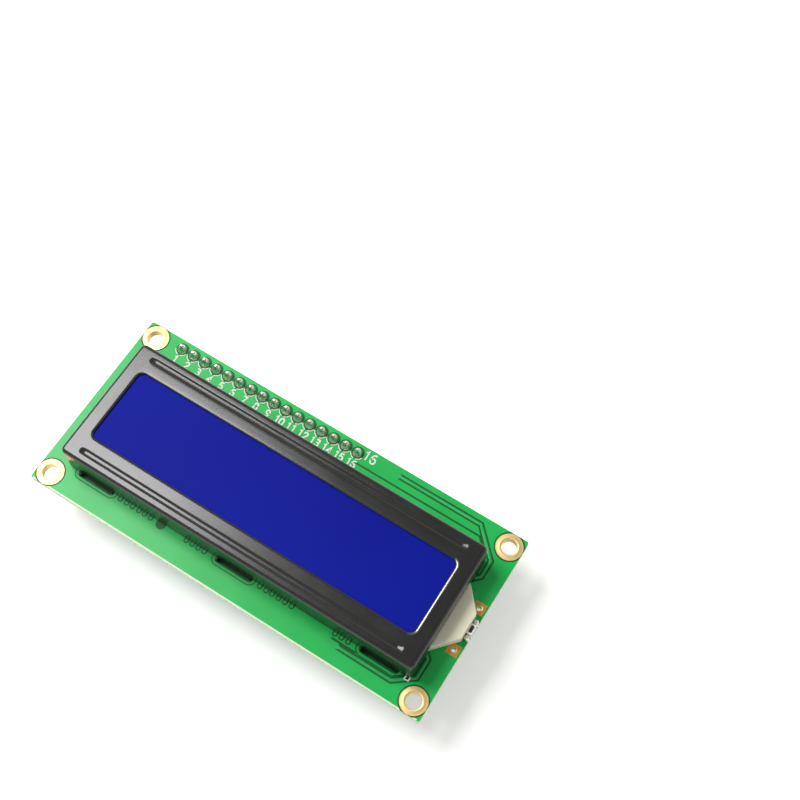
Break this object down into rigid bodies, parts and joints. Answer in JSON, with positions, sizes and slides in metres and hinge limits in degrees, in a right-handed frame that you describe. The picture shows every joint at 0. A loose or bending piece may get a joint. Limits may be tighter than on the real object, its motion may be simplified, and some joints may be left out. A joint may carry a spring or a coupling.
{
  "type": "character lcd module",
  "caption": "Two-line character display with a steel bezel on a green board, and a serial interface board soldered to its back.",
  "frame": {"origin": "centre of the four corner holes, on the front face of the main board", "axes": "+Z out of the display, +Y towards the edge with the pin row, +X along a line of text"},
  "size_m": [0.08, 0.036, 0.018],
  "materials": {
    "board_green": "glossy solder mask over glass fibre board",
    "board_black": "glossy black solder mask",
    "bezel_black": "black coated folded steel",
    "display_blue": "polarising film over blue negative cell",
    "cell_glass": "clear soda-lime sheet",
    "white_film": "matte white film",
    "guide_white": "milky acrylic",
    "contact_rubber": "banded silicone rubber",
    "lamp_resin": "pale lamp resin",
    "sealing_compound": "poured black resin",
    "header_black": "moulded black plastic",
    "tinned_pin": "tinned copper alloy",
    "solder": "bright solder",
    "chip_grey": "moulded epoxy",
    "trimmer_blue": "moulded blue plastic",
    "rotor_metal": "plated rotor",
    "cap_grey": "moulded dark grey plastic",
    "capacitor_tan": "fired ceramic",
    "resistor_black": "glazed black ceramic"
  },
  "bodies": {
    "module": {"main_board": "board_green", "bezel": "bezel_black", "front_polarizer": "display_blue", "front_glass": "cell_glass", "cell_seal": "white_film", "rear_glass": "cell_glass", "rear_polarizer": "display_blue", "diffuser_film": "white_film", "light_guide": "guide_white", "reflector_film": "white_film", "upper_contact_strip": "contact_rubber", "lower_contact_strip": "contact_rubber", "backlight_lamp": "lamp_resin", "lamp_solder": "solder", "controller_seal": "sealing_compound", "driver_seal": "sealing_compound", "row_header_base": "header_black", "row_header_pins": "tinned_pin", "front_joints": "solder", "rear_joints": "solder", "interface_board": "board_black", "inner_joints": "solder", "expander_chip": "chip_grey", "expander_leads": "tinned_pin", "trimmer_housing": "trimmer_blue", "trimmer_pins": "tinned_pin", "jumper_header_base": "header_black", "jumper_header_pins": "tinned_pin", "bus_header_base": "header_black", "bus_header_pins": "tinned_pin", "transistor": "chip_grey", "transistor_leads": "tinned_pin", "power_lamp": "lamp_resin", "power_lamp_ends": "solder", "capacitor": "capacitor_tan", "capacitor_ends": "solder", "interface_resistors": "resistor_black", "interface_resistor_ends": "solder", "board_resistors": "resistor_black", "board_resistor_ends": "solder", "option_link": "solder"},
    "rotor": {"trimmer_rotor": "rotor_metal"},
    "jumper": {"jumper_cap": "cap_grey", "jumper_clip": "tinned_pin"}
  },
  "joints": [
    {"name": "contrast_turn", "type": "hinge", "parent": "module", "child": "rotor", "pos_m": [-0.0242, 0.01045, -0.01054], "axis": [0, 0, -1], "range_deg": [-120, 120]},
    {"name": "jumper_pull", "type": "slide", "parent": "module", "child": "jumper", "axis": [1, 0, 0], "range_m": [0, 0.006]}
  ]
}
